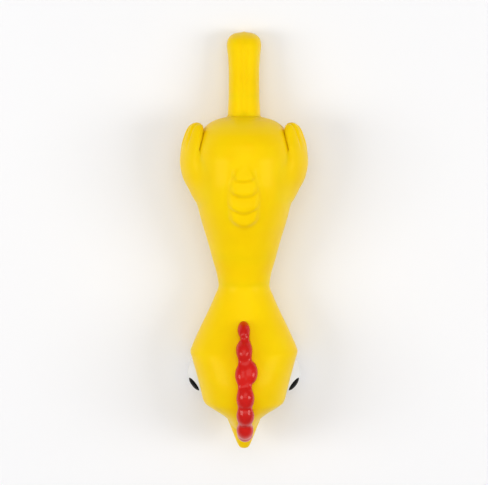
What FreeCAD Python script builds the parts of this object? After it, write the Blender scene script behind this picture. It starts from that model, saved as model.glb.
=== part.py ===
import FreeCAD, Part
import math
import os

V = FreeCAD.Vector

# A small soft rubber chicken lying on its belly, beak towards -Y, back up.
# Stations are distances in millimetres from the tip of the beak towards the feet.

# Lengths along the bird
beak_length = 8.0
head_length = 39.5
body_length = 48.3
leg_length = 24.2

# Widths and depths of the swelling forms
head_width = 30.8
head_depth = 25.6
neck_width = 14.8
neck_depth = 14.2
torso_width = 28.6
torso_depth = 28.0

# How far the soft underside is pressed flat where it lies
rest_flat = 0.5

# Heights of the middle lines above the surface that the chicken lies on
head_axis_height = 10.5
hip_axis_height = 8.3
foot_axis_height = 4.4

# Zones of rubber that bend or stretch, and the firmer rings between them
nape_zone = 6.5
neck_ring = 1.5
stretch_zone = 6.5
sway_zone = 8.0
hip_zone = 4.5
leg_ring = 3.2
shank_zone = 6.0

# Comb
comb_core_thickness = 3.0
comb_lobe_radius = 2.5
comb_lobe_stretch = 1.1
comb_lobe_offset = 1.7
comb_root_share = 0.36
comb_edge_share = 0.08
comb_focus_setback = 11.8
comb_focus_rise = 2.0
comb_toe_rise = 3.5

# Eyes
eye_radius = 6.2
eye_inset = 5.3
eye_setback = 13.8
eye_drop = 4.1
pupil_radius = 2.1
pupil_thickness = 0.25
pupil_yaw = 37.0
pupil_pitch = 20.0

# Finger pocket in the head, open on the throat
pocket_diameter = 13.0
pocket_slant = 50.0
pocket_depth = 18.0
pocket_setback = 23.0

# Wings
wing_length = 22.5
wing_height = 11.2
wing_thickness = 4.6
wing_lean = 25.0
wing_tip_setback = 1.3
wing_root_length = 8.1
wing_clearance = 0.7

# Legs and feet, moulded as one pair with a groove between them
leg_width = 5.8
leg_depth = 9.6
leg_pitch = 3.0
foot_toe_length = 3.0
hip_embed = 6.0

# Feather patch on the back
patch_length = 18.6
patch_width = 9.2
patch_rise = 0.35
patch_gap = 0.3
feather_count = 4
feather_width = 8.2
feather_length = 3.2
feather_pitch = 4.4
feather_rise = 0.55

# Values worked out from the sizes above
total_length = beak_length + head_length + body_length + leg_length
neck_station = beak_length + head_length
hip_station = neck_station + body_length
torso_axis_height = torso_depth / 2 - rest_flat
nape_start = neck_station - nape_zone
stretch_start = neck_station + neck_ring
stretch_end = stretch_start + stretch_zone
sway_start = stretch_end + neck_ring
sway_end = sway_start + sway_zone
hip_end = hip_station + hip_zone
shank_start = hip_end + leg_ring
shank_end = shank_start + shank_zone
patch_middle = sway_end + patch_gap + patch_length / 2
wing_start = hip_station - wing_tip_setback - wing_length
wing_split = wing_start + wing_root_length
room = 4 * total_length

# Outline of the head from the root of the beak backwards: share of its length, share of
# half its width, and the rise and the drop from its middle line as shares of its depth
head_outline = [
    (0.00, 0.31, 0.215, 0.160),
    (0.04, 0.36, 0.400, 0.190),
    (0.10, 0.54, 0.510, 0.270),
    (0.16, 0.73, 0.555, 0.350),
    (0.24, 0.82, 0.578, 0.410),
    (0.34, 0.885, 0.575, 0.430),
    (0.44, 0.955, 0.550, 0.430),
    (0.53, 1.00, 0.520, 0.422),
    (0.65, 0.90, 0.455, 0.400),
    (0.80, 0.70, 0.355, 0.350),
]

# Outline of the beak from its root to its tip: share of its length, share of its size
beak_outline = [(0.0, 1.0), (0.25, 0.86), (0.5, 0.69), (0.75, 0.51), (0.92, 0.36), (1.0, 0.19)]

# Outline of the torso: share of its length, then share of the way from the neck's
# section to the widest one, and after that share of the widest one over the rump
swell_outline = [(0.14, 0.21), (0.28, 0.44), (0.40, 0.67), (0.52, 0.88), (0.63, 0.99)]
rump_outline = [
    (0.76, 1.00),
    (0.86, 0.93),
    (0.92, 0.83),
    (0.965, 0.66),
    (0.99, 0.46),
    (1.00, 0.28),
]

# Lobes of the comb from the beak backwards: share of the head's length, share of its
# depth above its middle line, share of the lobes' offset to the left, share of their radius
comb_lobes = [
    (-0.061, 0.330, 0.18, 0.88),
    (-0.015, 0.484, 0.18, 0.96),
    (0.106, 0.625, 0.24, 1.00),
    (0.238, 0.680, 0.24, 1.02),
    (0.402, 0.633, -0.44, 0.96),
    (0.420, 0.621, 1.00, 0.92),
    (0.559, 0.574, 0.00, 0.92),
    (0.694, 0.477, -0.06, 0.70),
]

# Outline of a wing from its front: share of its length, shares of its thickness and of
# its height, share of half the torso's width, and share of the wing's height that its
# middle line lies above the torso's
wing_outline = [
    (0.00, 0.40, 0.30, 0.840, 0.16),
    (0.15, 0.80, 0.66, 0.930, 0.15),
    (0.32, 1.00, 0.90, 1.020, 0.14),
    (0.50, 1.05, 1.00, 1.055, 0.13),
    (0.70, 1.00, 0.98, 1.035, 0.12),
    (0.86, 0.92, 0.80, 0.985, 0.11),
    (0.96, 0.72, 0.54, 0.950, 0.10),
    (1.00, 0.42, 0.30, 0.938, 0.10),
]

# Outline of a toe: share of its length, share of half the pair's width, and shares of
# half the leg's depth above and below the middle line
toe_outline = [
    (0.00, 1.00, 1.00, 1.00),
    (0.35, 0.95, 0.72, 1.00),
    (0.75, 0.68, 0.36, 0.88),
    (1.00, 0.34, 0.02, 0.55),
]


def along(station):
    """The y of a station."""
    return station - total_length / 2


def quarter_ellipse(centre, half_width, height, index):
    """The quarter of an upright ellipse that starts at index times 90 degrees."""
    turn = index * math.pi / 2
    if abs(half_width - height) < 1e-6:
        circle = Part.Circle(centre, V(0, -1, 0), half_width)
        return Part.ArcOfCircle(circle, turn, turn + math.pi / 2).toShape()
    if half_width > height:
        ellipse = Part.Ellipse(centre + V(half_width, 0, 0), centre + V(0, 0, height), centre)
        return Part.ArcOfEllipse(ellipse, turn, turn + math.pi / 2).toShape()
    ellipse = Part.Ellipse(centre + V(0, 0, height), centre + V(-half_width, 0, 0), centre)
    return Part.ArcOfEllipse(ellipse, turn - math.pi / 2, turn).toShape()


def oval(station, half_width, top, bottom, middle, shift=0.0, grow=0.0):
    """A closed section across the bird, made of four quarter ellipses."""
    centre = V(shift, along(station), middle)
    heights = [top - middle + grow] * 2 + [middle - bottom + grow] * 2
    quarters = [
        quarter_ellipse(centre, half_width + grow, height, index)
        for index, height in enumerate(heights)
    ]
    return Part.Wire(quarters)


def even_oval(station, half_width, half_depth, middle, shift=0.0, grow=0.0):
    """A section that rises and drops equally from its middle."""
    top = middle + half_depth
    bottom = middle - half_depth
    return oval(station, half_width, top, bottom, middle, shift, grow)


def head_sections(grow=0.0):
    """Sections from the root of the beak to the back of the head."""
    sections = []
    for share, width, rise, drop in head_outline:
        station = beak_length + share * head_length
        top = head_axis_height + rise * head_depth
        bottom = head_axis_height - drop * head_depth
        middle = head_axis_height + (rise - drop) * head_depth / 3
        half_width = width * head_width / 2
        sections.append(oval(station, half_width, top, bottom, middle, 0.0, grow))
    return sections


def torso_sections(grow=0.0):
    """Sections that swell from the neck to the belly and close over the rump."""
    sections = []
    for share, swell in swell_outline:
        station = neck_station + share * body_length
        half_width = (neck_width + (torso_width - neck_width) * swell) / 2
        half_depth = (neck_depth + (torso_depth - neck_depth) * swell) / 2
        middle = head_axis_height + (torso_axis_height - head_axis_height) * swell
        sections.append(even_oval(station, half_width, half_depth, middle, 0.0, grow))
    for share, size in rump_outline:
        station = neck_station + share * body_length
        half_width = torso_width / 2 * size
        half_depth = torso_depth / 2 * size
        sections.append(even_oval(station, half_width, half_depth, torso_axis_height, 0.0, grow))
    return sections


def outer_form(grow=0.0):
    """The smooth outer form of the head, the neck and the torso."""
    neck = even_oval(neck_station, neck_width / 2, neck_depth / 2, head_axis_height, 0.0, grow)
    sections = head_sections(grow) + [neck] + torso_sections(grow)
    return Part.makeLoft(sections, True, False)


def slab(start, end):
    """All space between two stations, above the surface that the chicken lies on."""
    return Part.makeBox(room, end - start, room, V(-room / 2, along(start), 0))


def largest(shape):
    """The largest solid that a cut leaves."""
    return max(shape.Solids, key=lambda solid: solid.Volume)


def make_beak():
    """A blunt cone that starts with the section at the front of the head."""
    _, width, rise, drop = head_outline[0]
    sections = []
    for share, size in beak_outline:
        station = beak_length * (1 - share)
        top = head_axis_height + rise * head_depth * size
        bottom = head_axis_height - drop * head_depth * size
        middle = head_axis_height + (rise - drop) * head_depth / 3 * size
        sections.append(oval(station, width * head_width / 2 * size, top, bottom, middle))
    return Part.makeLoft(sections, True, False)


def make_pocket():
    """The slanted space for a finger: a round bore with a domed end."""
    slant = math.radians(pocket_slant)
    radius = pocket_diameter / 2
    mouth = V(0, along(beak_length + pocket_setback), 0)
    inward = V(0, -math.cos(slant), math.sin(slant))
    start = mouth - inward * pocket_diameter
    bore = Part.makeCylinder(radius, pocket_diameter + pocket_depth, start, inward)
    dome = Part.makeSphere(radius, mouth + inward * pocket_depth)
    return bore.fuse(dome)


def eye_centre(side):
    """The middle of an eyeball, inside the head."""
    reach = head_width / 2 - eye_inset
    height = head_axis_height - eye_drop
    return V(side * reach, along(beak_length + eye_setback), height)


def make_eye(side, skin):
    """The bulging white of an eye, where it stands out of the head."""
    ball = Part.makeSphere(eye_radius, eye_centre(side))
    outside = ball.cut(skin).common(slab(0, total_length))
    return largest(outside)


def make_pupil(side, skin):
    """A thin black disc that follows the curve of the eye."""
    yaw = math.radians(pupil_yaw)
    pitch = math.radians(pupil_pitch)
    flat = math.cos(pitch)
    axis = V(side * math.cos(yaw) * flat, -math.sin(yaw) * flat, math.sin(pitch))
    centre = eye_centre(side)
    outer = Part.makeSphere(eye_radius + pupil_thickness, centre)
    shell = outer.cut(Part.makeSphere(eye_radius, centre))
    column = Part.makeCylinder(pupil_radius, 2 * eye_radius, centre, axis)
    return largest(shell.common(column).cut(skin))


def long_lobe(centre, radius, direction):
    """A round-ended bar that lies along a direction."""
    start = centre - direction * comb_lobe_stretch
    bar = Part.makeCylinder(radius, 2 * comb_lobe_stretch, start, direction)
    ends = [
        Part.makeSphere(radius, start),
        Part.makeSphere(radius, centre + direction * comb_lobe_stretch),
    ]
    return bar.fuse(ends)


def make_comb(skin, beak):
    """A flat ridge that stands on the head, with fat lobes along its edge."""
    focus_height = head_axis_height + comb_focus_rise
    focus = V(0, along(beak_length + comb_focus_setback), focus_height)
    lobes = []
    edge = []
    root = []
    for share, rise, offset, size in comb_lobes:
        y = along(beak_length + share * head_length)
        centre = V(0, y, head_axis_height + rise * head_depth)
        outward = centre - focus
        edge.append(centre + outward * comb_edge_share)
        root.insert(0, centre - outward * comb_root_share)
        direction = outward.cross(V(1, 0, 0)).normalize()
        middle = centre + V(offset * comb_lobe_offset, 0, 0)
        lobes.append(long_lobe(middle, size * comb_lobe_radius, direction))
    toe = V(0, along(beak_length), head_axis_height + comb_toe_rise)
    face = Part.Face(Part.makePolygon(edge + root + [toe, edge[0]]))
    face.translate(V(-comb_core_thickness / 2, 0, 0))
    core = face.extrude(V(comb_core_thickness, 0, 0))
    return largest(core.fuse(lobes).cut(skin).cut(beak))


def wing_form(side):
    """The whole lobe of a wing, leaning on the torso, before the torso is cut from it."""
    sections = []
    for share, thickness, height, place, lift in wing_outline:
        station = wing_start + share * wing_length
        shift = side * place * torso_width / 2
        middle = torso_axis_height + lift * wing_height
        half_thickness = wing_thickness / 2 * thickness
        half_height = wing_height / 2 * height
        section = even_oval(station, half_thickness, half_height, middle, shift)
        section.rotate(V(shift, along(station), middle), V(0, -side, 0), wing_lean)
        sections.append(section)
    return Part.makeLoft(sections, True, False)


def make_wing(form, clear_skin):
    """The rear of a wing, which stands clear of the torso."""
    return largest(form.common(slab(wing_split, total_length)).cut(clear_skin))


def make_wing_root(form, skin):
    """The front of a wing, which joins it to the torso."""
    return largest(form.common(slab(wing_start, wing_split)).cut(skin))


def leg_height(station):
    """Height of the legs' middle line, which sinks from the hip to the foot."""
    share = (station - hip_station) / (total_length - hip_station)
    return hip_axis_height + (foot_axis_height - hip_axis_height) * share


def leg_form(side):
    """One leg and foot of the pair, from inside the rump to the toe, flat on the inside."""
    toe_start = total_length - foot_toe_length
    half_depth = leg_depth / 2
    shift = side * leg_pitch / 2
    leg = []
    for station in (hip_station - hip_embed, hip_end, shank_start, shank_end, toe_start):
        leg.append(even_oval(station, leg_width / 2, half_depth, leg_height(station), shift))
    toe = []
    for share, width, rise, drop in toe_outline:
        station = toe_start + share * foot_toe_length
        top = leg_height(station) + rise * half_depth
        bottom = leg_height(station) - drop * half_depth
        half_width = leg_width / 2 * width
        toe.append(oval(station, half_width, top, bottom, (top + bottom) / 2, shift * width))
    form = Part.makeLoft(leg, True, False).fuse(Part.makeLoft(toe, True, True))
    inner_side = Part.makeBox(room, room, room, V(0 if side > 0 else -room, -room / 2, 0))
    return form.common(inner_side)


def upright_column(station, width, length):
    """A column with an oval plan, from the torso's middle line up."""
    centre = V(0, along(station), torso_axis_height)
    if width > length:
        ellipse = Part.Ellipse(centre + V(width / 2, 0, 0), centre + V(0, length / 2, 0), centre)
    else:
        ellipse = Part.Ellipse(centre + V(0, length / 2, 0), centre + V(-width / 2, 0, 0), centre)
    return Part.Face(Part.Wire(ellipse.toShape())).extrude(V(0, 0, torso_depth))


def make_patch(skin):
    """A low oval on the back with a row of raised feathers across it."""
    base = upright_column(patch_middle, patch_width, patch_length)
    patch = outer_form(patch_rise).common(base)
    raised = outer_form(patch_rise + feather_rise)
    for index in range(feather_count):
        place = index - (feather_count - 1) / 2
        narrowing = 1 - 0.05 * place ** 2
        station = patch_middle + place * feather_pitch
        column = upright_column(station, feather_width * narrowing, feather_length)
        patch = patch.fuse(raised.common(column))
    return largest(patch.cut(skin))


def make_body(skin):
    """The moulding from head to rump, parted where it bends and stretches."""
    parts = {
        "head": (beak_length, nape_start),
        "nape": (nape_start, neck_station),
        "neck_upper": (neck_station, stretch_start),
        "neck_middle": (stretch_start, stretch_end),
        "neck_lower": (stretch_end, sway_start),
        "neck_base": (sway_start, sway_end),
        "torso": (sway_end, total_length),
    }
    shapes = {name: skin.common(slab(*span)) for name, span in parts.items()}
    shapes["head"] = shapes["head"].cut(make_pocket())
    return {name: largest(shape) for name, shape in shapes.items()}


def make_legs(skin):
    """The hip where the legs leave the rump, and both legs, shanks and feet."""
    forms = {"left": leg_form(1), "right": leg_form(-1)}
    spans = {
        "leg_": (hip_end, shank_start),
        "shank_": (shank_start, shank_end),
        "foot_": (shank_end, total_length),
    }
    shapes = {}
    for side, form in forms.items():
        for prefix, span in spans.items():
            shapes[prefix + side] = largest(form.common(slab(*span)))
    pair = forms["left"].fuse(forms["right"])
    hip = pair.common(slab(hip_station - hip_embed, hip_end))
    shapes["hip"] = largest(hip.cut(skin))
    return shapes


def make_chicken():
    """Every piece of the chicken, by name."""
    skin = outer_form()
    clear_skin = outer_form(wing_clearance)
    beak = make_beak()
    shapes = make_body(skin)
    shapes.update(make_legs(skin))
    shapes["beak"] = largest(beak)
    shapes["comb"] = make_comb(skin, beak)
    shapes["back_feathers"] = make_patch(skin)
    for name, side in (("left", 1), ("right", -1)):
        shapes["eye_" + name] = make_eye(side, skin)
        shapes["pupil_" + name] = make_pupil(side, skin)
        form = wing_form(side)
        shapes["wing_" + name] = make_wing(form, clear_skin)
        shapes["wing_root_" + name] = make_wing_root(form, skin)
    return shapes


def write_all(shapes):
    """One STEP file for each piece."""
    os.makedirs("parts", exist_ok=True)
    for name, shape in shapes.items():
        valid = "valid" if shape.isValid() else "not valid"
        print(name, round(shape.Volume, 1), valid)
        shape.exportStep(os.path.join("parts", name + ".step"))


write_all(make_chicken())
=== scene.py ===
import math

import bmesh
import bpy
import numpy as np
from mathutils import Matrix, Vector


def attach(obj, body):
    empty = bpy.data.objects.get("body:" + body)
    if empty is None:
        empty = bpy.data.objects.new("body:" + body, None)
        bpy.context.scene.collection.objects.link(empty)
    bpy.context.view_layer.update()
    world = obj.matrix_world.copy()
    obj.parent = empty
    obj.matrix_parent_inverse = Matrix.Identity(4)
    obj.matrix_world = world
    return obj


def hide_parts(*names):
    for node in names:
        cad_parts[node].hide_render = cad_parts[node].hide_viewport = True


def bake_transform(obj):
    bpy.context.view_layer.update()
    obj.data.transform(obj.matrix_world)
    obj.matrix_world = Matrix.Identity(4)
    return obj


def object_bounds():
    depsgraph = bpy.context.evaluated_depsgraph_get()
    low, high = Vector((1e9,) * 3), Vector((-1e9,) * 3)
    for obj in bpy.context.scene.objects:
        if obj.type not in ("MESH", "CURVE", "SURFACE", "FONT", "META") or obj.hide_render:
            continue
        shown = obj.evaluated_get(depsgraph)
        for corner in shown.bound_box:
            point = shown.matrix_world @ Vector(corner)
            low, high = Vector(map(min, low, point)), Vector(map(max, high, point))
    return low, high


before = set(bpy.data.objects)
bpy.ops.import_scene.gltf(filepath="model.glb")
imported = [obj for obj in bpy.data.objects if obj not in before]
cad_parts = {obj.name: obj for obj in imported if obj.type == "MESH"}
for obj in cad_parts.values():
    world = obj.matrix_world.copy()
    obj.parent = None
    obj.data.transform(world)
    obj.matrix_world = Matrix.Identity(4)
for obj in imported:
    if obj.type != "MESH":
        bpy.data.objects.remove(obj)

# The chicken lies on its belly, beak towards -Y, back up. Its skin is worked out in
# millimetres as points of x, station and z, where the station runs from the tip of
# the beak towards the feet. Meshes are then made in metres.
cad_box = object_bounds()
MM = 0.001
LENGTH = (cad_box[1][1] - cad_box[0][1]) / MM

# Fineness of the meshes
SKIN_STEP = 0.55
WING_STEP = 0.45
COMB_STEP = 0.34

# A face with more sides than this is the flat end of a cut
END_SIDES = 12

# A point this near to the outer field's surface is on it
ON_SURFACE = 0.06

# Heights of the middle lines
HEAD_AXIS = 10.5
TORSO_AXIS = 13.5

# Planes that part the skin, each within a ring that moves as one
NECK_UPPER_CUT = 48.25
NECK_LOWER_CUT = 56.25
HIP_CUT = 96.6
SHANK_CUT = 101.9

# Zones that bend or stretch, from the end on the torso's side to the far end
NAPE_ZONE = (47.5, 41.0)
NECK_STRETCH_ZONE = (55.5, 49.0)
NECK_SWAY_ZONE = (65.0, 57.0)
HIP_ZONE = (96.8, 100.3)
SHANK_ZONE = (103.5, 109.5)

# Outline of the head, neck and torso: station, half width, top and bottom
SKIN_OUTLINE = [
    (5.6, 0.3, HEAD_AXIS + 3.2, HEAD_AXIS - 0.8),
    (6.1, 2.0, HEAD_AXIS + 5.6, HEAD_AXIS - 1.9),
    (7.0, 3.1, HEAD_AXIS + 7.9, HEAD_AXIS - 2.8),
    (8.6, 4.1, HEAD_AXIS + 10.2, HEAD_AXIS - 3.8),
    (9.7, 5.1, HEAD_AXIS + 11.2, HEAD_AXIS - 4.7),
    (11.0, 6.9, HEAD_AXIS + 12.2, HEAD_AXIS - 6.0),
    (12.6, 9.6, HEAD_AXIS + 13.1, HEAD_AXIS - 7.5),
    (13.9, 11.35, HEAD_AXIS + 13.75, HEAD_AXIS - 8.6),
    (14.8, 11.8, HEAD_AXIS + 14.1, HEAD_AXIS - 9.2),
    (17.0, 12.35, HEAD_AXIS + 14.6, HEAD_AXIS - 10.2),
    (20.0, 13.1, HEAD_AXIS + 14.8, HEAD_AXIS - 10.9),
    (24.0, 14.2, HEAD_AXIS + 14.3, HEAD_AXIS - 11.0),
    (26.6, 14.95, HEAD_AXIS + 13.7, HEAD_AXIS - 11.0),
    (28.6, 15.45, HEAD_AXIS + 13.1, HEAD_AXIS - 10.9),
    (29.9, 15.05, HEAD_AXIS + 12.7, HEAD_AXIS - 10.75),
    (32.0, 14.15, HEAD_AXIS + 11.95, HEAD_AXIS - 10.5),
    (36.0, 12.3, HEAD_AXIS + 10.3, HEAD_AXIS - 9.8),
    (40.0, 10.35, HEAD_AXIS + 8.8, HEAD_AXIS - 8.9),
    (44.2, 8.5, HEAD_AXIS + 7.5, HEAD_AXIS - 7.9),
    (47.5, 7.35, HEAD_AXIS + 7.0, HEAD_AXIS - 7.2),
    (50.0, 7.65, 17.9, 3.1),
    (55.0, 9.0, 19.5, 2.4),
    (61.0, 10.6, 21.9, 1.4),
    (66.0, 12.1, 24.2, 0.5),
    (72.0, 13.5, 26.3, -0.1),
    (78.0, 14.25, 27.3, -0.5),
    (84.0, 14.3, 27.4, -0.5),
    (88.0, 13.7, 26.7, -0.1),
    (91.0, 12.6, 25.2, 1.0),
    (93.2, 11.1, 22.9, 2.8),
    (94.7, 9.1, 20.3, 4.9),
    (95.6, 6.6, 17.8, 6.9),
    (96.0, 3.9, 15.6, 8.8),
    (96.2, 0.4, 12.9, 11.2),
]

# Box within which the skin is worked out
SKIN_BOX = ((-16.2, -0.8, -0.8), (16.2, LENGTH + 0.8, 29.2))

# Outline of the beak: station and half width, which is its half depth too
BEAK_OUTLINE = [
    (0.0, 0.02),
    (0.15, 0.80),
    (0.7, 1.50),
    (2.0, 2.15),
    (4.0, 2.95),
    (6.5, 3.90),
    (9.0, 4.75),
    (12.0, 4.0),
    (14.0, 0.1),
]
BEAK_LIFT = 0.3
BEAK_JOIN = 1.3

# Outline of one leg of the pair: station, half width, half depth and middle height
LEG_OUTLINE = [
    (88.0, 0.2, 0.4, 9.6),
    (89.5, 2.9, 4.6, 9.4),
    (95.8, 3.0, 4.9, 8.3),
    (101.0, 2.85, 4.75, 7.6),
    (108.0, 2.8, 4.6, 6.4),
    (113.0, 2.95, 4.7, 5.5),
    (116.2, 3.15, 4.7, 5.0),
    (117.8, 3.0, 4.3, 4.5),
    (119.0, 2.4, 3.3, 3.9),
    (119.7, 1.5, 2.0, 3.3),
    (120.0, 0.1, 0.2, 3.0),
]
LEG_PITCH = 3.2
LEG_HALF_WIDTH = 2.85
LEG_GROOVE = 1.1
HIP_JOIN = 3.4

# Feather patch on the back: its taper towards the rear, where its edge fades out, and the
# shallow trough around it. Edge and trough are in shares of the patch's half size.
PATCH_MIDDLE = 74.2
PATCH_LENGTH = 18.6
PATCH_WIDTH = 9.6
PATCH_TAPER = 0.27
PATCH_TAPER_ZONE = (72.0, 83.0)
PATCH_RISE = 0.24
PATCH_EDGE = (0.84, 1.04)
TROUGH_DEPTH = 0.05
TROUGH_PLACE = 1.14
TROUGH_WIDTH = 0.14

# Each feather rises steeply in front, and fades towards the rear and at its sides. The
# table has the station of its front edge, half its width and the bow of that edge.
FEATHER_RISE = 0.85
FEATHER_FRONT = 0.8
FEATHER_BACK = 2.3
FEATHER_SIDE = (1.6, 0.5)
FEATHERS = [(66.3, 4.3, 0.13), (70.2, 4.4, 0.105), (75.0, 4.0, 0.09), (79.2, 3.3, 0.07)]

# Outline of the left wing, which leans on the torso: station, distance from the middle,
# middle height, half thickness and half height
WING_OUTLINE = [
    (71.6, 11.8, 15.3, 0.2, 0.4),
    (72.4, 12.2, 15.3, 1.1, 2.0),
    (75.4, 13.3, 15.2, 1.9, 3.8),
    (79.2, 14.6, 15.1, 2.35, 5.1),
    (83.2, 15.1, 15.0, 2.4, 5.6),
    (87.7, 14.8, 14.8, 2.3, 5.5),
    (91.3, 14.1, 14.7, 2.15, 4.6),
    (93.4, 13.65, 14.6, 1.75, 3.3),
    (94.3, 13.45, 14.6, 1.1, 1.9),
    (94.6, 13.4, 14.6, 0.1, 0.2),
]
WING_LEAN = math.radians(25.0)

# The fillet in front fades out between two stations, and the rear then stands clear of
# the torso. The root in front reaches into it.
WING_JOIN = 3.2
WING_SEAM = 0.12
WING_FILLET_END = (78.0, 88.0)
WING_FILLET_REACH = 0.72
WING_LOOSE = (85.4, 87.0)
WING_ROOT_DEPTH = 1.2
WING_GAP = 0.12

# Two grooves part the rear edge into feathers: heights on the wing, and how they fan out
WING_GROOVES = (-1.9, 1.6)
WING_GROOVE_WIDTH = 0.5
WING_GROOVE_DEPTH = 0.5
WING_GROOVE_ZONE = (86.0, 92.5)
WING_GROOVE_START = 88
WING_GROOVE_FAN = 0.03
WING_BOX = ((7.9, 68.5, 5.5), (19.5, 96.0, 25.5))

# Eyes and pupils
EYE_CENTRE = (10.1, 21.8, 6.4)
EYE_RADII = (6.25, 6.5, 6.2)
PUPIL_YAW = math.radians(37.0)
PUPIL_PITCH = math.radians(20.0)
PUPIL_RADIUS = 2.3
PUPIL_RISE = 0.14
PUPIL_SINK = 0.3

# Finger pocket: middle of its mouth, slant, depth and radius
POCKET_MOUTH = (0.0, 31.0, 0.0)
POCKET_SLANT = math.radians(50.0)
POCKET_DEPTH = 18.0
POCKET_RADIUS = 6.5
POCKET_ROUND = 0.9

# Rounding of the edge where the underside lies flat
SOLE_ROUND = 0.5

# Lobes of the comb: x, station, height above the head's axis, and radius
COMB_LOBES = [
    (0.3, 5.6, 8.4, 2.2),
    (0.3, 7.4, 12.4, 2.4),
    (0.4, 12.2, 16.0, 2.5),
    (0.4, 17.4, 17.4, 2.55),
    (-0.35, 23.9, 16.2, 2.2),
    (1.75, 24.6, 15.9, 2.15),
    (0.0, 30.7, 14.5, 2.3),
    (-0.1, 36.2, 11.8, 1.75),
]

# The lobes point away from a focus in the head: its station, and height above the axis
COMB_FOCUS = (19.8, 2.0)
COMB_STRETCH = 3.35
COMB_EDGE = 1.08
COMB_JOIN = 0.8

# Half the thickness of the ridge that carries the lobes: stations, and values there
RIDGE_STATIONS = (1.0, 5.0, 20.0, 31.5, 33.5)
RIDGE_HALVES = (1.5, 1.9, 2.0, 1.9, 1.3)
RIDGE_MIDDLE = 0.25
COMB_ROUND = 2.0

# The ridge starts before the first lobe by the toe, in radians, and its root lies this
# deep in the head
COMB_TOE = 0.25
COMB_ROOT = 1.0
COMB_END_SLOPE = 14
COMB_BOX = ((-4.6, 0.8, 12.0), (4.6, 38.2, 31.2))

# Camera, in metres: its distance towards the feet, its height and the height it aims at
CAMERA_SETBACK = 0.071
CAMERA_HEIGHT = 0.70
AIM_HEIGHT = 0.012


def smooth_rows(rows):
    """Functions of the first column that pass smoothly through each other column."""
    table = np.array(rows, float)
    xs = table[:, 0]
    curves = []
    for column in range(1, table.shape[1]):
        ys = table[:, column]
        steps = np.diff(ys) / np.diff(xs)
        slopes = np.zeros(len(xs))
        slopes[0], slopes[-1] = steps[0], steps[-1]
        for i in range(1, len(xs) - 1):
            if steps[i - 1] * steps[i] > 0:
                wide = xs[i + 1] - xs[i]
                near = xs[i] - xs[i - 1]
                first = 2 * wide + near
                second = wide + 2 * near
                slopes[i] = (first + second) / (first / steps[i - 1] + second / steps[i])
        curves.append((xs, ys, slopes))
    return [lambda s, c=curve: hermite(c, s) for curve in curves]


def hermite(curve, s):
    """A cubic through the curve's points, with its slopes, held flat past its ends."""
    xs, ys, slopes = curve
    s = np.clip(s, xs[0], xs[-1])
    i = np.clip(np.searchsorted(xs, s) - 1, 0, len(xs) - 2)
    gap = xs[i + 1] - xs[i]
    t = (s - xs[i]) / gap
    start = (1 + 2 * t) * (1 - t) ** 2 * ys[i] + t * (1 - t) ** 2 * gap * slopes[i]
    return start + t * t * (3 - 2 * t) * ys[i + 1] - t * t * (1 - t) * gap * slopes[i + 1]


def swept(x, z, half_width, top, bottom):
    """Rough distance from an oval tube with these sections."""
    middle = (top + bottom) / 2
    half_depth = np.maximum((top - bottom) / 2, 1e-3)
    half_width = np.maximum(half_width, 1e-3)
    ratio = np.sqrt((x / half_width) ** 2 + ((z - middle) / half_depth) ** 2)
    return (ratio - 1) * np.minimum(half_width, half_depth)


def past_ends(s, low, high):
    """How far a station lies past the ends of a form."""
    return np.maximum(np.maximum(low - s, s - high), 0)


def join(a, b, size):
    """The two forms together, with a fillet of this size between them."""
    share = np.maximum(size - np.abs(a - b), 0) / size
    return np.minimum(a, b) - share ** 3 * size / 6


def cut_out(a, b, size):
    """The first form with the second taken out of it, its edges rounded."""
    return -join(-a, b, size)


skin_curves = smooth_rows(SKIN_OUTLINE)
beak_curves = smooth_rows(BEAK_OUTLINE)
leg_curves = smooth_rows(LEG_OUTLINE)
wing_curves = smooth_rows(WING_OUTLINE)


def torso_field(p):
    """The head, neck and torso without beak, wings, legs and feathers."""
    x, s, z = p[:, 0], p[:, 1], p[:, 2]
    half_width, top, bottom = [curve(s) for curve in skin_curves]
    field = swept(x, z, half_width, top, bottom)
    return field + past_ends(s, SKIN_OUTLINE[0][0], SKIN_OUTLINE[-1][0])


def fade(value, start, end):
    """Smoothly from 0 before start to 1 after end."""
    t = np.clip((value - start) / (end - start), 0, 1)
    return t * t * (3 - 2 * t)


def feather_relief(p):
    """Height of the feather patch above the back: tiles with a bowed front edge."""
    x, s, z = p[:, 0], p[:, 1], p[:, 2]
    along = (s - PATCH_MIDDLE) / (PATCH_LENGTH / 2)
    across = x / (PATCH_WIDTH / 2 * (1 - PATCH_TAPER * fade(s, *PATCH_TAPER_ZONE)))
    reach = np.sqrt(along ** 2 + across ** 2)
    base = PATCH_RISE * (1 - fade(reach, *PATCH_EDGE))
    trough = TROUGH_DEPTH * np.exp(-((reach - TROUGH_PLACE) / TROUGH_WIDTH) ** 2)
    feathers = np.zeros(len(s))
    for edge, half, bow in FEATHERS:
        past = s - edge - bow * x ** 2
        profile = np.exp(-(past / np.where(past < 0, FEATHER_FRONT, FEATHER_BACK)) ** 2)
        sides = 1 - fade(np.abs(x), half - FEATHER_SIDE[0], half + FEATHER_SIDE[1])
        feathers = np.maximum(feathers, profile * sides)
    return np.where(z > TORSO_AXIS, base - trough + FEATHER_RISE * feathers, 0)


def beak_field(p):
    """The round beak, a little above the head's axis."""
    x, s, z = p[:, 0], p[:, 1], p[:, 2]
    radius = beak_curves[0](s)
    field = np.hypot(x, z - HEAD_AXIS - BEAK_LIFT) - radius
    return field + past_ends(s, BEAK_OUTLINE[0][0], BEAK_OUTLINE[-1][0])


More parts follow.
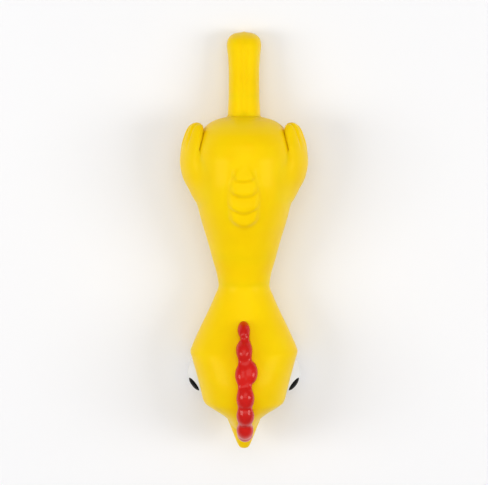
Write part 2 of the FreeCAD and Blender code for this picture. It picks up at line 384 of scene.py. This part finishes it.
def leg_field(p):
    """Both legs and feet, pressed together with a groove between them."""
    x, s, z = p[:, 0], p[:, 1], p[:, 2]
    half_width, half_depth, middle = [curve(s) for curve in leg_curves]
    out = LEG_PITCH / 2 * half_width / LEG_HALF_WIDTH
    top, bottom = middle + half_depth, middle - half_depth
    near = swept(np.abs(x) - out, z, half_width, top, bottom)
    far = swept(-np.abs(x) - out, z, half_width, top, bottom)
    field = join(near, far, LEG_GROOVE)
    return field + past_ends(s, LEG_OUTLINE[0][0], LEG_OUTLINE[-1][0])


def pocket_field(p):
    """The slanted bore for a finger, with a domed end."""
    start = np.array(POCKET_MOUTH)
    inward = np.array([0.0, -math.cos(POCKET_SLANT), math.sin(POCKET_SLANT)])
    run = np.clip((p - start) @ inward, -POCKET_DEPTH, POCKET_DEPTH)
    nearest = start + run[:, None] * inward
    return np.linalg.norm(p - nearest, axis=1) - POCKET_RADIUS


def skin_field(p):
    """The whole yellow moulding apart from the wings."""
    field = torso_field(p) - feather_relief(p)
    field = join(field, beak_field(p), BEAK_JOIN)
    field = join(field, leg_field(p), HIP_JOIN)
    field = cut_out(field, pocket_field(p), POCKET_ROUND)
    return cut_out(field, p[:, 2], SOLE_ROUND)


def wing_shape(p):
    """The left wing by itself, its rear edge parted into feathers."""
    x, s, z = p[:, 0], p[:, 1], p[:, 2]
    out, middle, half_thick, half_height = [curve(s) for curve in wing_curves]
    across = (x - out) * math.cos(WING_LEAN) + (z - middle) * math.sin(WING_LEAN)
    upward = (z - middle) * math.cos(WING_LEAN) - (x - out) * math.sin(WING_LEAN)
    field = swept(across, upward, half_thick, half_height, -half_height)
    for height in WING_GROOVES:
        line = height * (1 - WING_GROOVE_FAN * (s - WING_GROOVE_START))
        groove = np.exp(-((upward - line) / WING_GROOVE_WIDTH) ** 2)
        field = field + WING_GROOVE_DEPTH * groove * fade(s, *WING_GROOVE_ZONE)
    return field + past_ends(s, WING_OUTLINE[0][0], WING_OUTLINE[-1][0])


def wing_fillet(p):
    """Size of the fillet between wing and torso, which runs out towards the rear."""
    return WING_JOIN * (1 - fade(p[:, 1], *WING_FILLET_END)) + WING_SEAM


def wing_union(p):
    """The torso and the left wing, joined smoothly at the wing's front alone."""
    return join(torso_field(p), wing_shape(p), wing_fillet(p))


def wing_field(p):
    """The left wing with the fillet that runs out onto the torso."""
    nearby = wing_shape(p) - WING_FILLET_REACH * wing_fillet(p)
    loose = fade(p[:, 1], *WING_LOOSE)
    inner = -torso_field(p) - WING_ROOT_DEPTH * (1 - loose) + WING_GAP * loose
    return np.maximum(np.maximum(wing_union(p), nearby), inner)


def gradient(field, p, gap=0.02):
    """The field's slope at each point."""
    slopes = np.zeros_like(p)
    for axis in range(3):
        step = np.zeros(3)
        step[axis] = gap
        slopes[:, axis] = (field(p + step) - field(p - step)) / (2 * gap)
    return slopes


def grid_surface(field, low, high, step):
    """Quads on the surface of a field: one point in each grid cell that it crosses."""
    axes = [np.arange(a, b + step, step) for a, b in zip(low, high)]
    shape = [len(axis) for axis in axes]
    grid = np.stack(np.meshgrid(*axes, indexing="ij"), axis=-1).reshape(-1, 3)
    values = np.concatenate([field(part) for part in np.array_split(grid, 24)])
    values = values.reshape(shape)
    inside = values < 0
    cells = [n - 1 for n in shape]
    total = np.zeros(cells + [3])
    count = np.zeros(cells)
    quads = []
    crossings = []
    for axis in range(3):
        first = [slice(None)] * 3
        second = [slice(None)] * 3
        first[axis] = slice(None, -1)
        second[axis] = slice(1, None)
        a, b = values[tuple(first)], values[tuple(second)]
        crossed = inside[tuple(first)] != inside[tuple(second)]
        share = np.where(crossed, a / np.where(crossed, a - b, 1), 0)
        crossings.append((crossed, inside[tuple(first)]))
        others = [k for k in range(3) if k != axis]
        for u in (0, 1):
            for v in (0, 1):
                pick = [slice(None)] * 3
                pick[others[0]] = slice(u, u + cells[others[0]])
                pick[others[1]] = slice(v, v + cells[others[1]])
                hit = crossed[tuple(pick)]
                place = np.zeros(cells + [3])
                place[..., axis] = share[tuple(pick)]
                place[..., others[0]] = u
                place[..., others[1]] = v
                total += place * hit[..., None]
                count += hit
    used = count > 0
    number = -np.ones(cells, int)
    number[used] = np.arange(used.sum())
    corner = np.argwhere(used)
    points = np.array(low) + (corner + total[used] / count[used][:, None]) * step
    for axis, (crossed, starts_inside) in enumerate(crossings):
        u, v = [k for k in range(3) if k != axis]
        where = np.argwhere(crossed)
        keep = (where[:, u] > 0) & (where[:, v] > 0)
        keep &= (where[:, u] < cells[u]) & (where[:, v] < cells[v])
        where = where[keep]
        ring = []
        for du, dv in ((-1, -1), (0, -1), (0, 0), (-1, 0)):
            cell = where.copy()
            cell[:, u] += du
            cell[:, v] += dv
            ring.append(number[tuple(cell.T)])
        quad = np.stack(ring, axis=1)
        flip = starts_inside[tuple(where.T)] ^ (axis == 1)
        quad[~flip] = quad[~flip][:, ::-1]
        quads.append(quad)
    return points, np.concatenate(quads)


def settle(field, points, quads, limit, rounds=3):
    """Even out the points and pull them back onto the surface."""
    edges = np.concatenate([quads[:, [i, (i + 1) % 4]] for i in range(4)])
    for _ in range(rounds):
        sums = np.zeros_like(points)
        counts = np.zeros(len(points))
        for a, b in ((0, 1), (1, 0)):
            np.add.at(sums, edges[:, a], points[edges[:, b]])
            np.add.at(counts, edges[:, a], 1)
        points = points + 0.5 * (sums / counts[:, None] - points)
        for _ in range(3):
            slope = gradient(field, points)
            size = np.maximum((slope ** 2).sum(axis=1), 0.05)
            move = -(field(points) / size)[:, None] * slope
            length = np.linalg.norm(move, axis=1)
            move *= np.minimum(1, limit / np.maximum(length, 1e-9))[:, None]
            points = points + move
    return points


def surface(field, low, high, step, rounds=3):
    """Even quads on a field's surface within a box."""
    points, quads = grid_surface(field, low, high, step)
    return settle(field, points, quads, step / 2, rounds), quads


def to_metres(points):
    """Points of x, station and z in millimetres as row-frame positions in metres."""
    return (np.asarray(points) - np.array([0, LENGTH / 2, 0])) * MM


def to_millimetres(points):
    """Row-frame positions in metres as points of x, station and z in millimetres."""
    return np.asarray(points) / MM + np.array([0, LENGTH / 2, 0])


def add_object(name, data):
    """An object with this data, linked to the scene."""
    obj = bpy.data.objects.new(name, data)
    bpy.context.scene.collection.objects.link(obj)
    return obj


def mesh_object(name, points, faces):
    """A mesh through points in millimetres."""
    mesh = bpy.data.meshes.new(name)
    mesh.from_pydata(to_metres(points).tolist(), [], np.asarray(faces).tolist())
    mesh.validate()
    return add_object(name, mesh)


def smooth_by_field(obj, field, outer=None):
    """Shade the mesh with the field's own slopes, apart from the flat ends of a cut.

    Points on the outer field's surface take their slope from that field.
    """
    mesh = obj.data
    mesh.shade_smooth()
    points = to_millimetres([v.co for v in mesh.vertices])
    normals = gradient(field, points, 0.05)
    if outer:
        on_outer = np.abs(outer(points)) < ON_SURFACE
        normals[on_outer] = gradient(outer, points[on_outer], 0.05)
    normals /= np.maximum(np.linalg.norm(normals, axis=1), 1e-9)[:, None]
    loops = np.zeros(len(mesh.loops), int)
    mesh.loops.foreach_get("vertex_index", loops)
    corner_normals = normals[loops]
    for face in mesh.polygons:
        if len(face.vertices) > END_SIDES:
            span = slice(face.loop_start, face.loop_start + face.loop_total)
            corner_normals[span] = np.array(face.normal)
    mesh.normals_split_custom_set(corner_normals.tolist())


def part_of(whole, name, start, end):
    """The stretch of a mesh between two stations, closed by flat ends."""
    work = bmesh.new()
    work.from_mesh(whole.data)
    for station, keep_far in ((start, True), (end, False)):
        if station is None:
            continue
        geometry = work.verts[:] + work.edges[:] + work.faces[:]
        bmesh.ops.bisect_plane(
            work,
            geom=geometry,
            dist=1e-7,
            plane_co=(0, (station - LENGTH / 2) * MM, 0),
            plane_no=(0, 1, 0),
            clear_inner=keep_far,
            clear_outer=not keep_far,
        )
        border = [edge for edge in work.edges if edge.is_boundary]
        bmesh.ops.holes_fill(work, edges=border, sides=0)
    mesh = bpy.data.meshes.new(name)
    work.to_mesh(mesh)
    work.free()
    return add_object(name, mesh)


def blend_along(obj):
    """Bake the piece's placement into its mesh."""
    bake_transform(obj)


def make_skin(material):
    """The yellow moulding, in the stretches that bend or stretch at one joint each."""
    points, quads = surface(skin_field, *SKIN_BOX, SKIN_STEP)
    whole = mesh_object("whole_skin", points, quads)
    stretches = [
        ("head_skin", None, NECK_UPPER_CUT, "neck_upper", "head", NAPE_ZONE,
         ("head", "beak", "nape", "neck_upper")),
        ("neck_skin", NECK_UPPER_CUT, NECK_LOWER_CUT, "neck_lower", "neck_upper",
         NECK_STRETCH_ZONE, ("neck_middle",)),
        ("torso_skin", NECK_LOWER_CUT, HIP_CUT, "torso", "neck_lower", NECK_SWAY_ZONE,
         ("torso", "neck_base", "neck_lower", "back_feathers")),
        ("leg_skin", HIP_CUT, SHANK_CUT, "torso", "legs", HIP_ZONE,
         ("hip", "leg_left", "leg_right")),
        ("foot_skin", SHANK_CUT, None, "legs", "feet", SHANK_ZONE,
         ("shank_left", "shank_right", "foot_left", "foot_right")),
    ]
    for name, start, end, near, far, zone, nodes in stretches:
        obj = part_of(whole, name, start, end)
        smooth_by_field(obj, skin_field)
        finish_piece(obj, material, nodes)
        blend_along(obj)
    bpy.data.objects.remove(whole)


def finish_piece(obj, material, nodes):
    """Give a piece its material and the CAD nodes that it replaces."""
    obj.data.materials.clear()
    obj.data.materials.append(material)
    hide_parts(*nodes)


def make_wings(material):
    """Two wings, held at the front and loose at the rear."""
    points, quads = surface(wing_field, *WING_BOX, WING_STEP)
    for side, name in ((1, "left"), (-1, "right")):
        mirror = np.array([side, 1, 1])
        faces = quads if side > 0 else quads[:, ::-1]
        obj = mesh_object("wing_skin_" + name, points * mirror, faces)
        smooth_by_field(
            obj,
            lambda p, m=mirror: wing_field(p * m),
            lambda p, m=mirror: wing_union(p * m),
        )
        finish_piece(obj, material, ("wing_" + name, "wing_root_" + name))
        blend_along(obj)


def eye_axes(side):
    """The direction of the pupil, and two directions square to it."""
    flat = math.cos(PUPIL_PITCH)
    out = np.array(
        [side * math.cos(PUPIL_YAW) * flat, -math.sin(PUPIL_YAW) * flat, math.sin(PUPIL_PITCH)]
    )
    along = np.cross(out, [0, 0, 1.0])
    along /= np.linalg.norm(along)
    return out, along, np.cross(along, out)


def dome(side, angles, lift, segments):
    """Rings of points about the pupil's direction, on the eyeball and raised by lift."""
    out, along, up = eye_axes(side)
    centre = np.array([side * EYE_CENTRE[0], EYE_CENTRE[1], EYE_CENTRE[2]])
    radii = np.array(EYE_RADII)
    rings = []
    for angle, rise in zip(angles, lift):
        turns = np.linspace(0, 2 * math.pi, segments, endpoint=False)
        direction = (
            math.cos(angle) * out[None, :]
            + math.sin(angle) * np.cos(turns)[:, None] * along[None, :]
            + math.sin(angle) * np.sin(turns)[:, None] * up[None, :]
        )
        rings.append(centre + direction * (radii + rise))
    return rings


def ring_mesh(name, rings):
    """A closed mesh through rings of points, with a point at each pole."""
    count = len(rings[0])
    points = [rings[0].mean(axis=0)]
    for ring in rings[1:-1]:
        points.extend(ring)
    points.append(rings[-1].mean(axis=0))
    faces = []
    last = len(points) - 1
    for k in range(count):
        after = (k + 1) % count
        faces.append((0, 1 + k, 1 + after))
        faces.append((last, last - count + after, last - count + k))
    for row in range(len(rings) - 3):
        base = 1 + row * count
        for k in range(count):
            after = (k + 1) % count
            faces.append((base + k, base + count + k, base + count + after, base + after))
    mesh = bpy.data.meshes.new(name)
    mesh.from_pydata(to_metres(np.array(points)).tolist(), [], faces)
    mesh.validate()
    work = bmesh.new()
    work.from_mesh(mesh)
    bmesh.ops.recalc_face_normals(work, faces=work.faces[:])
    work.to_mesh(mesh)
    work.free()
    mesh.shade_smooth()
    return add_object(name, mesh)


def make_eyes(white, black):
    """Eyeballs, each with a thin pupil that follows its curve."""
    for side, name in ((1, "left"), (-1, "right")):
        angles = np.linspace(0, math.pi, 40)
        eye = ring_mesh("eye_white_" + name, dome(side, angles, np.zeros(40), segments=72))
        finish_piece(eye, white, ("eye_" + name,))
        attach(eye, "head")
        rim = PUPIL_RADIUS / EYE_RADII[0]
        spread = np.linspace(0, rim, 14)
        crown = PUPIL_RISE * (1 - (spread / rim) ** 6)
        angles = np.concatenate([spread, [rim, rim * 0.5, 0]])
        lifts = np.concatenate([crown, [-PUPIL_SINK] * 3])
        pupil = ring_mesh("pupil_black_" + name, dome(side, angles, lifts, segments=48))
        finish_piece(pupil, black, ("pupil_" + name,))
        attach(pupil, "head")


def comb_field(p):
    """Fat lobes along a ridge that stands on the head."""
    focus_s, focus_rise = COMB_FOCUS
    lobes = np.array(COMB_LOBES)
    out = lobes[:, 1:3] - [focus_s, focus_rise]
    reaches = np.hypot(out[:, 0], out[:, 1])
    field = np.full(len(p), 1e3)
    for (x, s, rise, radius), (run, climb), reach in zip(lobes, out, reaches):
        aside, ahead, above = p[:, 0] - x, p[:, 1] - s, p[:, 2] - HEAD_AXIS - rise
        along = (ahead * climb - above * run) / reach
        beyond = (ahead * run + above * climb) / reach
        ratio = np.sqrt((along / COMB_STRETCH) ** 2 + (aside ** 2 + beyond ** 2) / radius ** 2)
        field = join(field, (ratio - 1) * radius, COMB_JOIN)
    turns = np.arctan2(out[:, 0], out[:, 1])
    rise = p[:, 2] - HEAD_AXIS - focus_rise
    turn = np.arctan2(p[:, 1] - focus_s, rise)
    edge = np.hypot(p[:, 1] - focus_s, rise) - np.interp(turn, turns, reaches * COMB_EDGE)
    ends = past_ends(turn, turns[0] - COMB_TOE, turns[-1]) * COMB_END_SLOPE
    half = np.interp(p[:, 1], RIDGE_STATIONS, RIDGE_HALVES)
    core = cut_out(np.abs(p[:, 0] - RIDGE_MIDDLE) - half, -edge, COMB_ROUND) + ends
    field = join(field, core, COMB_JOIN)
    return np.maximum(field, -torso_field(p) - COMB_ROOT)


def make_comb(material):
    """The comb, which rides on the head."""
    points, quads = surface(comb_field, *COMB_BOX, COMB_STEP, rounds=2)
    obj = mesh_object("comb_skin", points, quads)
    smooth_by_field(obj, comb_field)
    finish_piece(obj, material, ("comb",))
    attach(obj, "head")


def new_material(name):
    """A material with nodes, its tree and its shader."""
    material = bpy.data.materials.new(name)
    material.use_nodes = True
    shader = material.node_tree.nodes["Principled BSDF"]
    return material, material.node_tree, shader


def noise(tree, scale, detail=3.0):
    """A noise texture fixed to the object."""
    place = tree.nodes.new("ShaderNodeTexCoord")
    texture = tree.nodes.new("ShaderNodeTexNoise")
    texture.inputs["Scale"].default_value = scale
    texture.inputs["Detail"].default_value = detail
    tree.links.new(place.outputs["Object"], texture.inputs["Vector"])
    return texture


def ramp(tree, source, stops):
    """Colours at places along a value."""
    node = tree.nodes.new("ShaderNodeValToRGB")
    elements = node.color_ramp.elements
    while len(elements) < len(stops):
        elements.new(0.5)
    for element, (place, colour) in zip(elements, stops):
        element.position = place
        element.color = (*colour, 1)
    tree.links.new(source, node.inputs["Fac"])
    return node


def moulded_material(name, dark, light, rough, grain, grain_depth, shine, tint):
    """Moulded or painted rubber: faint colour drift, uneven gloss and a fine grain.

    The grain's scale is in waves a metre, and its depth in metres.
    """
    material, tree, shader = new_material(name)
    drift = noise(tree, 90.0)
    colour = ramp(tree, drift.outputs["Fac"], [(0.3, dark), (0.7, light)])
    tree.links.new(colour.outputs["Color"], shader.inputs["Base Color"])
    patchy = noise(tree, 260.0)
    low, high = rough
    gloss = tree.nodes.new("ShaderNodeMapRange")
    gloss.inputs["To Min"].default_value = low
    gloss.inputs["To Max"].default_value = high
    tree.links.new(patchy.outputs["Fac"], gloss.inputs["Value"])
    tree.links.new(gloss.outputs["Result"], shader.inputs["Roughness"])
    fine = noise(tree, grain, 5.0)
    bump = tree.nodes.new("ShaderNodeBump")
    bump.inputs["Strength"].default_value = 0.5
    bump.inputs["Distance"].default_value = grain_depth
    tree.links.new(fine.outputs["Fac"], bump.inputs["Height"])
    tree.links.new(bump.outputs["Normal"], shader.inputs["Normal"])
    shader.inputs["Specular IOR Level"].default_value = 0.25
    shader.inputs["Specular Tint"].default_value = (*tint, 1)
    shader.inputs["Coat Weight"].default_value = shine
    shader.inputs["Coat Roughness"].default_value = 0.14
    return material, shader


def make_materials():
    """Yellow rubber with a little light passing through, and three glossier paints."""
    yellow, shader = moulded_material(
        "yellow_rubber",
        dark=(0.92, 0.60, 0.0),
        light=(0.96, 0.66, 0.0005),
        rough=(0.34, 0.44),
        grain=900.0,
        grain_depth=1.5e-5,
        shine=0.02,
        tint=(1.0, 0.8, 0.15),
    )
    shader.inputs["Subsurface Weight"].default_value = 0.22
    shader.inputs["Subsurface Radius"].default_value = (1.0, 0.55, 0.05)
    shader.inputs["Subsurface Scale"].default_value = 0.0022
    red, _ = moulded_material(
        "red_comb",
        dark=(0.53, 0.002, 0.0005),
        light=(0.68, 0.004, 0.001),
        rough=(0.25, 0.35),
        grain=1400.0,
        grain_depth=8e-6,
        shine=0.35,
        tint=(1.0, 0.6, 0.5),
    )
    white, _ = moulded_material(
        "eye_white",
        dark=(0.80, 0.79, 0.76),
        light=(0.86, 0.86, 0.84),
        rough=(0.28, 0.4),
        grain=1200.0,
        grain_depth=1e-5,
        shine=0.2,
        tint=(1.0, 1.0, 1.0),
    )
    black, shader = moulded_material(
        "pupil_black",
        dark=(0.001, 0.001, 0.001),
        light=(0.004, 0.004, 0.004),
        rough=(0.4, 0.5),
        grain=1500.0,
        grain_depth=5e-6,
        shine=0.0,
        tint=(1.0, 1.0, 1.0),
    )
    shader.inputs["IOR"].default_value = 1.15
    return yellow, red, white, black


def area_light(name, place, size, power, colour):
    """A soft box that faces the chicken."""
    data = bpy.data.lights.new(name, "AREA")
    data.shape = "RECTANGLE"
    data.size, data.size_y = size
    data.energy = power
    data.color = colour
    light = add_object(name, data)
    light.location = place
    light.rotation_euler = (-Vector(place)).to_track_quat("-Z", "Y").to_euler()


def make_studio():
    """A pale floor, a light world and soft lights from both sides and above."""
    mesh = bpy.data.meshes.new("floor")
    half = 3.0
    corners = [(-half, -half, 0), (half, -half, 0), (half, half, 0), (-half, half, 0)]
    mesh.from_pydata(corners, [], [(0, 1, 2, 3)])
    floor = add_object("floor", mesh)
    material, tree, shader = new_material("pale_floor")
    stops = [(0.3, (0.89, 0.89, 0.905)), (0.7, (0.91, 0.91, 0.925))]
    tint = ramp(tree, noise(tree, 3.0).outputs["Fac"], stops)
    tree.links.new(tint.outputs["Color"], shader.inputs["Base Color"])
    shader.inputs["Roughness"].default_value = 0.6
    mesh.materials.append(material)
    world = bpy.data.worlds.new("studio")
    world.use_nodes = True
    tree = world.node_tree
    place = tree.nodes.new("ShaderNodeTexCoord")
    split = tree.nodes.new("ShaderNodeSeparateXYZ")
    tree.links.new(place.outputs["Generated"], split.inputs["Vector"])
    stops = [(0.0, (0.34, 0.34, 0.34)), (0.9, (0.56, 0.56, 0.56))]
    sky = ramp(tree, split.outputs["Z"], stops)
    tree.links.new(sky.outputs["Color"], tree.nodes["Background"].inputs["Color"])
    bpy.context.scene.world = world
    for side, name in ((-1, "left_box"), (1, "right_box")):
        area_light(name, (side * 0.54, -0.02, 0.45), (0.24, 0.36), 1.56, (1.0, 0.99, 0.97))
    area_light("top_box", (0.0, 0.25, 0.75), (0.6, 0.6), 1.4, (1.0, 1.0, 1.0))


def make_camera():
    """High above the chicken, a little towards its feet, beak at the bottom of the frame."""
    data = bpy.data.cameras.new("camera")
    data.lens = 178
    data.sensor_width = 36
    camera = add_object("camera", data)
    camera.location = (0, CAMERA_SETBACK, CAMERA_HEIGHT)
    camera.rotation_euler = (math.atan2(-CAMERA_SETBACK, CAMERA_HEIGHT - AIM_HEIGHT), 0, 0)
    bpy.context.scene.camera = camera
    bpy.context.scene.view_settings.view_transform = "Standard"


yellow, red, white, black = make_materials()
make_skin(yellow)
make_wings(yellow)
make_eyes(white, black)
make_comb(red)
make_studio()
make_camera()
